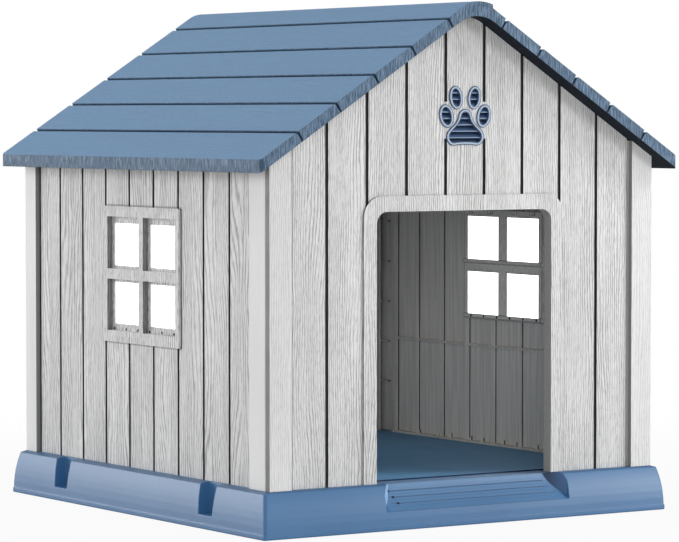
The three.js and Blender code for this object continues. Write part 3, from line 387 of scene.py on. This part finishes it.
def wall_material(name, is_side, style):
    """Pale grey boards for the walls that face along x or along y. Their grooves, the
    steps of their posts and their corner strips carry painted shade; the inside is plain."""
    g = Graph(name)
    x, y, z = g.split(g.place)
    normal = g.split(g.normal)
    if is_side:
        out, across, out_normal, face = x, y, normal[0], POST_X
        pitch, offset, start = SIDE_PITCH, SIDE_OFFSET, 0.0
        groove_shade, post_grain = GROOVE_SHADE_SIDE, 0.12
    else:
        out, across, out_normal, face = y, x, normal[1], POST_Y
        pitch, offset, start = FRONT_PITCH, 0.0, 0.5
        beside_post = g.above(g.size(across), POST_X - POST_WIDTH)
        groove_shade, post_grain = g.mix(beside_post, GROOVE_SHADE_FRONT, GROOVE_SHADE_POST), 0.5
    side = g.math("SIGN", out)
    depth = g.minus(face, g.size(out))
    facing = g.times(out_normal, side)
    post = g.below(depth, POST_DEPTH)
    edge = g.below(g.size(facing), SQUARE)
    groove = g.times(g.between(depth, GROOVE_DEPTH), g.above(facing, -SQUARE))
    inside = g.highest(g.below(facing, -SQUARE), g.above(depth, SKIN_DEPTH))

    shifted = g.plus(across, g.times(side, offset))
    board = g.math("FLOOR", g.plus(g.over(shifted, pitch), start))
    seed = g.random(g.plus(board, g.times(side, 31.0)))
    dark = grain(g, across, z, seed, **style)
    dark = g.times(dark, g.blend(post, 1.0, post_grain))
    tone = g.noise(g.vector(g.times(across, 11.0), g.times(z, 1.5), seed))
    colour = g.mix(g.ramp(tone, SOFT), WALL_PALE, WALL_PALE_2)
    colour = g.mix(dark, colour, WALL_DARK)
    # painted shade on the side faces of steps and posts
    colour = g.mix(edge, colour, WALL_STEP_SHADE)
    # painted shade in the grooves
    colour = g.mix(groove, colour, groove_shade)

    if is_side:
        corner_shade = g.times(g.below(across, -POST_Y + CORNER_SHADE_WIDTH), post)
        shadow_line = window_shadow_line(g, side, y, z, depth)
    else:
        off = g.size(across)
        corner_shade = g.times(edge, g.above(off, POST_X - END_MARGIN))
        jamb = g.times(g.below(off, DOOR_HALF_W), g.below(z, DOOR_TOP), edge,
                       g.below(y, 0.0))
        # painted shadow on the door trim's side faces
        shadow_line = g.times(edge, g.below(off, TRIM_HALF_W), g.between(depth, TRIM_DEPTH),
                       g.minus(1.0, jamb))
    # painted shade down the front corners
    colour = g.mix(corner_shade, colour, WALL_CORNER_SHADE)
    # painted shadow beside the frames and the trim
    colour = g.mix(shadow_line, colour, WALL_EDGE_SHADOW)

    fine = g.noise(g.place, 500.0, rough=0.6)
    drawn = g.noise(g.vector(g.times(across, 160.0), g.times(z, 5.0), 0.0),
                    detail=3.0, rough=0.6)
    plain_colour = g.mix(g.ramp(drawn, SOFT), WALL_INSIDE, WALL_INSIDE_2)
    colour = g.mix(inside, colour, plain_colour)
    if not is_side:
        # mottled painted shade on the doorway's jambs
        colour = g.mix(jamb, colour, g.mix(g.ramp(fine, SOFT), WALL_JAMB_SHADE, WALL_STEP_SHADE))
    plain_relief = g.plus(g.times(fine, 0.12), g.times(drawn, 0.35))
    relief = g.blend(g.highest(inside, edge), g.minus(1.0, dark), plain_relief)
    rough = g.plus(0.5, g.times(dark, 0.15))
    g.plastic(colour, rough, g.bump(relief, 0.8, 0.002))
    return g.material


def frame_material():
    """Window frame: the boards' grain on its face and borders, with painted shade in its
    reveals.
    """
    g = Graph("frame_grain")
    x, y, z = g.split(g.place)
    ny = g.split(g.normal)[1]
    side = g.math("SIGN", x)
    dark = grain(g, g.plus(y, x), z, side, **FRAME_GRAIN)
    within = g.below(from_window(g, side, y), WINDOW_HALF_W - WINDOW_BORDER)
    reveal = g.times(g.above(g.size(ny), SQUARE), within)
    colour = g.mix(dark, WALL_PALE, WALL_DARK)
    # painted shade in the reveals
    colour = g.mix(reveal, colour, g.mix(dark, REVEAL_SHADE, REVEAL_SHADE_2))
    g.plastic(colour, 0.52, g.bump(g.minus(1.0, dark), 0.55, 0.0014))
    return g.material


def roof_material():
    """Blue boards: a faint long grain on top, painted shade in the grooves between them and
    in the slots they make in the front and back edges, and a rough sawn texture on all
    edges."""
    g = Graph("roof_grain")
    x, y, z = g.split(g.place)
    _, ny, nz = g.split(g.normal)
    cosine, sine = math.cos(ROOF_SLOPE), math.sin(ROOF_SLOPE)
    off = g.size(x)
    facing_y = g.size(ny)
    is_top = g.ramp(nz, (0.5, 0.7))

    board = g.math("FLOOR", g.over(off, ROOF_PITCH))
    seed = g.random(g.plus(board, g.times(g.math("SIGN", x), 17.0)))
    dark = grain(g, g.over(off, cosine), y, seed, **ROOF_GRAIN)
    sawn = g.noise(g.vector(g.times(g.plus(x, y), 400.0), 0.0, g.times(z, 42.0)),
                   detail=3.0, rough=0.6, distortion=0.3)
    sawn = g.ramp(sawn, SAWN)
    top = g.mix(g.times(dark, 0.28), ROOF_TOP, ROOF_DARK)
    edge = g.mix(g.times(sawn, 0.85), ROOF_EDGE, ROOF_SAWN)
    colour = g.mix(is_top, edge, top)

    surface = g.minus(ROOF_APEX_Z, g.times(off, math.tan(ROOF_SLOPE)))
    depth = g.times(g.minus(surface, z), cosine)
    groove = g.times(g.above(depth, ROOF_GROOVE_DEPTH), g.between(off, ROOF_GROOVE_X),
                     g.below(facing_y, SQUARE))
    # painted shade in the grooves
    colour = g.mix(groove, colour, ROOF_GROOVE_SHADE)

    run = g.plus(g.times(off, cosine), g.times(g.minus(ROOF_APEX_Z, z), sine))
    run = g.minus(g.times(run, cosine), ROOF_SLOT_X)
    slot = g.math("PINGPONG", g.over(run, ROOF_PITCH), 0.5)
    slot = g.ramp(slot, [width / ROOF_PITCH for width in ROOF_SLOT_FADE], 1.0, 0.0)
    slot = g.times(slot, g.above(facing_y, 0.7), g.between(off, ROOF_SLOT_END_X))
    # painted shade in the slots
    colour = g.mix(slot, colour, ROOF_SLOT_SHADE)
    # painted shade underneath
    colour = g.mix(g.below(nz, -SQUARE), colour, ROOF_UNDER_SHADE)

    relief = g.blend(is_top, g.minus(1.0, sawn), g.minus(1.0, dark))
    rough = g.blend(g.below(nz, -0.3), 0.5, 0.95)
    g.plastic(colour, rough, g.bump(relief, 0.7, 0.0012, ROOF_ROUND))
    return g.material


def deck_material():
    """Blue floor sheet with a fine spark texture; its edges have painted shade."""
    g = Graph("floor_plastic")
    nz = g.split(g.normal)[2]
    tone = g.ramp(g.noise(g.place, 6.0), WIDE)
    fine = g.spark()
    # painted shade on the floor sheet's edges
    colour = g.mix(g.below(nz, 0.7), g.mix(tone, FLOOR_BLUE, FLOOR_BLUE_2), BASE_DEEP_SHADE)
    rough = g.plus(0.45, g.times(fine, 0.12))
    g.plastic(colour, rough, g.bump(fine, 0.12, SPARK_DEPTH), 0.2)
    return g.material


def treads(g, x, y, z, colour):
    """Painted shade along the grooves across the ramp, with a pit of painted shade at the
    left of each.
    """
    field = g.in_field(x, TREAD_X, y, TREAD_Y)
    for i, tread in enumerate(TREADS_Z):
        off = g.size(g.minus(z, tread))
        shade = g.size(g.minus(z, tread - TREAD_SHADE_DROP))
        line = g.highest(g.ramp(off, TREAD_FADE, 0.55, 0.0),
                         g.ramp(shade, TREAD_SHADE_FADE, 0.3, 0.0))
        # painted shade along the tread
        colour = g.mix(g.times(line, field), colour, BASE_TREAD_SHADE)
        left = PIT_LEFT + PIT_STAGGER * i
        pit = g.times(g.below(off, PIT_HALF_H), g.between(x, (left, left + PIT_WIDTH)),
                      g.below(y, PIT_Y))
        # painted shade in the pit
        colour = g.mix(pit, colour, BASE_DEEP_SHADE)
    return colour


def base_material():
    """Glossy blue tray, painted shade on its rim. Ramp and sill have painted light; painted
    shade runs along the ramp's foot, across it and on its right cheek; highlight at its
    left."""
    g = Graph("base_plastic")
    x, y, z = g.split(g.place)
    nx = g.split(g.normal)[0]
    tone = g.ramp(g.noise(g.place, 4.0), WIDE)
    fine = g.spark()
    outside = g.highest(g.above(g.size(x), RIM_X), g.below(y, RIM_Y))
    rim = g.times(g.above(z, RIM_Z), outside)
    foot = g.times(g.between(z, FOOT_Z), g.between(x, FOOT_X), g.below(y, FOOT_Y))
    ramp = g.in_field(x, RAMP_X, y, RAMP_Y)
    cheek = g.times(g.in_field(x, CHEEK_X, y, CHEEK_Y), g.ramp(nx, (-0.25, -0.5)))
    sill = g.times(g.in_field(x, SILL_X, y, SILL_Y), g.above(z, SILL_Z))
    chamfer = g.times(g.in_field(x, CHAMFER_X, y, CHAMFER_Y), g.ramp(nx, (0.3, 0.5)))

    colour = g.mix(tone, BASE_BLUE, BASE_BLUE_2)
    # painted shade on the rim and along the ramp's foot
    colour = g.mix(rim, colour, BASE_RIM_SHADE)
    colour = g.mix(foot, colour, BASE_RIM_SHADE)
    # painted light on the ramp
    colour = g.mix(g.times(ramp, 0.14), colour, BASE_HIGHLIGHT)
    colour = treads(g, x, y, z, colour)
    shade = g.mix(g.ramp(x, CHEEK_SHADE_X), BASE_DEEP_SHADE, BASE_CHEEK_SHADE)
    # painted shade on the cheek
    colour = g.mix(cheek, colour, shade)
    # painted light on the sill, then a painted highlight on the left slope
    colour = g.mix(g.times(sill, 0.5), colour, BASE_HIGHLIGHT)
    colour = g.mix(chamfer, colour, BASE_HIGHLIGHT)
    rough = g.plus(0.38, g.times(fine, 0.1))
    g.plastic(colour, rough, g.bump(fine, 0.1, SPARK_DEPTH, BASE_ROUND), 0.85)
    return g.material


def insert_material():
    """Grey insert with a fine texture and painted shade for drain holes along its lower
    edge.
    Where it faces out it has a greyer painted shade; elsewhere its edges have painted
    shade."""
    g = Graph("insert_plastic")
    x, y, z = g.split(g.place)
    nx = g.split(g.normal)[0]
    side = g.math("SIGN", x)
    tone = g.noise(g.vector(0.0, g.times(y, 300.0), g.times(z, 60.0)))
    streak = g.ramp(tone, STREAK)
    colour = g.mix(streak, INSERT_GREY, INSERT_GREY_2)
    # painted shade on the edges
    colour = g.mix(g.flat(INSERT_ROUND, (0.93, 0.995)), INSERT_EDGE_SHADE, colour)
    outward = g.above(g.times(nx, side), SQUARE)
    # mottled painted shade on the outward faces
    colour = g.mix(outward, colour, g.mix(streak, INSERT_OUT_SHADE, INSERT_OUT_SHADE_2))

    along = g.over(g.plus(g.times(side, y), WINDOW_OFFSET + DRAIN_OFFSET), DRAIN_PITCH)
    middle = g.plus(g.math("FLOOR", along), 0.5)
    away = g.times(g.minus(along, middle), DRAIN_PITCH)
    hole = g.below(g.distance(away, g.minus(z, DRAIN_Z)), DRAIN_R + DRAIN_MARGIN)
    # painted shade for the drain holes
    colour = g.mix(hole, colour, INSERT_HOLE_SHADE)
    g.plastic(colour, 0.5, g.bump(tone, 0.25, 0.0008))
    return g.material


def vent_material():
    """Rims with a painted highlight along their middle and painted shade at their edges,
    over louvres with painted shade that deepens inwards and painted highlights on their
    front edges."""
    g = Graph("vent_plastic")
    y = g.split(g.place)[1]
    ny = g.split(g.normal)[1]
    fine = g.spark()
    middle = g.times(g.flat(VENT_ROUND, (0.965, 0.999)), g.below(ny, -0.7))
    # painted highlight along the rims' middle, painted shade at their edges
    rim = g.mix(middle, VENT_EDGE_SHADE, VENT_RIM_HIGHLIGHT)
    front = g.times(g.below(ny, -0.9), g.below(y, VENT_FRONT_Y))
    # painted shade on the louvres, with a painted highlight on their front edges
    slat = g.mix(g.ramp(y, VENT_SLAT_Y), VENT_SLAT_SHADE, VENT_INSIDE_SHADE)
    slat = g.mix(front, slat, VENT_FRONT_HIGHLIGHT)
    colour = g.mix(g.above(y, VENT_RIM_Y), rim, slat)
    g.plastic(colour, 0.38, g.bump(fine, 0.1, SPARK_DEPTH), 0.6)
    return g.material


def pane_material():
    """Milky sheet with a painted glow that stands in for light through it, stronger inside.
    """
    g = Graph("pane_milky")
    side = g.math("SIGN", g.split(g.place)[0])
    nx = g.split(g.normal)[0]
    haze = g.ramp(g.noise(g.place, 40.0), WIDE)
    inward = g.below(g.times(nx, side), -SQUARE)
    shader = g.plastic(g.mix(haze, PANE_MILK, PANE_MILK_2), 0.3)
    shader.inputs["Emission Color"].default_value = WHITE
    # painted glow, weaker outside and stronger inside
    g.feed(shader.inputs["Emission Strength"], g.blend(inward, 0.6, 2.2))
    return g.material


def paint(node, material):
    """The material on every slot of a CAD node, set on its object."""
    if not node.material_slots:
        node.data.materials.append(material)
    for slot in node.material_slots:
        slot.link = "OBJECT"
        slot.material = material


# ------------------------------------------------------------------ camera and studio
IMAGE_W = 679                       # pixels
FOCAL = 3426.5                      # pixels, fitted to the photograph
SENSOR_W = 36.0                     # mm
CAMERA_PLACE = (-3.8168, -5.8808, 0.7908)
CAMERA_DROP = 2.61                  # degrees below level
CAMERA_TURN = -33.12                # degrees from straight ahead

WORLD_STRENGTH = 0.35
FLOOR_REACH = 9.0
FLOOR_SINK = 0.0005
GLOW_REACH = (0.8, 2.4)             # the floor turns to plain white between these
GLOW_SHARE = (0.92, 1.0)

# Name, place, target, diameter, watts, and whether it shows in glossy surfaces.
LAMPS = (
    ("key", (3.5, -2.1, 3.0), (0.1, -0.4, 0.5), 1.2, 88.0, False),
    ("fill", (-3.2, -5.2, 1.3), (0.0, 0.0, 0.4), 2.2, 75.0, False),
    ("left", (-5.0, -1.0, 2.2), (-0.3, 0.0, 0.4), 2.0, 20.0, True),
    ("gloss", (-3.2, 3.7, 0.8), (-0.4, 0.0, 0.2), 2.6, 92.0, True),
    ("strip", (3.3, -3.2, 0.95), (0.4, -0.5, 0.1), 1.2, 62.0, True),
    ("top", (-1.5, 0.5, 5.0), (0.0, 0.0, 0.8), 3.0, 58.0, True),
)


def make_camera():
    data = bpy.data.cameras.new("camera")
    data.sensor_width = SENSOR_W
    data.lens = FOCAL / IMAGE_W * SENSOR_W
    data.clip_start = 0.1
    data.clip_end = 60.0
    camera = bpy.data.objects.new("camera", data)
    camera.location = CAMERA_PLACE
    tilt = math.radians(90 - CAMERA_DROP)
    camera.rotation_euler = (tilt, 0.0, math.radians(CAMERA_TURN))
    bpy.context.scene.collection.objects.link(camera)
    bpy.context.scene.camera = camera


def area_light(name, place, target, size, power, glossy):
    data = bpy.data.lights.new(name, "AREA")
    data.shape = "DISK"
    data.size = size
    data.energy = power
    light = bpy.data.objects.new(name, data)
    light.location = place
    direction = Vector(target) - Vector(place)
    light.rotation_euler = direction.to_track_quat("-Z", "Y").to_euler()
    light.visible_glossy = glossy
    bpy.context.scene.collection.objects.link(light)


def make_world():
    """Soft light from all round, behind which the camera sees plain white."""
    world = bpy.data.worlds.new("studio")
    world.use_nodes = True
    tree = world.node_tree
    tree.nodes.clear()
    output = tree.nodes.new("ShaderNodeOutputWorld")
    light = tree.nodes.new("ShaderNodeBackground")
    light.inputs["Color"].default_value = STUDIO_LIGHT
    light.inputs["Strength"].default_value = WORLD_STRENGTH
    seen = tree.nodes.new("ShaderNodeBackground")
    seen.inputs["Color"].default_value = WHITE
    path = tree.nodes.new("ShaderNodeLightPath")
    mix = tree.nodes.new("ShaderNodeMixShader")
    tree.links.new(path.outputs["Is Camera Ray"], mix.inputs[0])
    tree.links.new(light.outputs[0], mix.inputs[1])
    tree.links.new(seen.outputs[0], mix.inputs[2])
    tree.links.new(mix.outputs[0], output.inputs["Surface"])
    bpy.context.scene.world = world


def make_floor():
    """Pale floor that keeps some of the object's shadow near it and is white beyond."""
    mesh = bpy.data.meshes.new("floor")
    r = FLOOR_REACH
    corners = [(-r, -r, 0.0), (r, -r, 0.0), (r, r, 0.0), (-r, r, 0.0)]
    mesh.from_pydata(corners, [], [(0, 1, 2, 3)])
    floor = bpy.data.objects.new("floor", mesh)
    floor.location.z = -FLOOR_SINK
    bpy.context.scene.collection.objects.link(floor)
    g = Graph("floor_pale")
    shader = g.plastic(STUDIO_FLOOR, 0.9, specular=0.1)
    x, y, _ = g.split(g.place)
    share = g.ramp(g.distance(x, y), GLOW_REACH, *GLOW_SHARE)
    seen = g.node("ShaderNodeLightPath").outputs["Is Camera Ray"]
    glow = g.node("ShaderNodeEmission")
    mix = g.node("ShaderNodeMixShader")
    g.link(g.times(seen, share), mix.inputs[0])
    g.link(shader.outputs[0], mix.inputs[1])
    g.link(glow.outputs[0], mix.inputs[2])
    g.link(mix.outputs[0], g.output.inputs["Surface"])
    mesh.materials.append(g.material)


# --------------------------------------------------------------------------- scene
make_camera()
make_world()
make_floor()
for lamp in LAMPS:
    area_light(*lamp)

side_wall = wall_material("side_grain", True, SIDE_GRAIN)
gable_wall = wall_material("gable_grain", False, GABLE_GRAIN)
materials = {
    "left_wall": side_wall,
    "right_wall": side_wall,
    "front_wall": gable_wall,
    "back_wall": gable_wall,
    "window_frame": frame_material(),
    "roof": roof_material(),
    "base_tray": base_material(),
    "floor_panel": deck_material(),
    "window_insert": insert_material(),
    "paw_vent": vent_material(),
    "window_pane": pane_material(),
}
for name, node in nodes.items():
    for start, material in materials.items():
        if name.startswith(start):
            paint(node, material)

bpy.context.scene.view_settings.view_transform = "Standard"
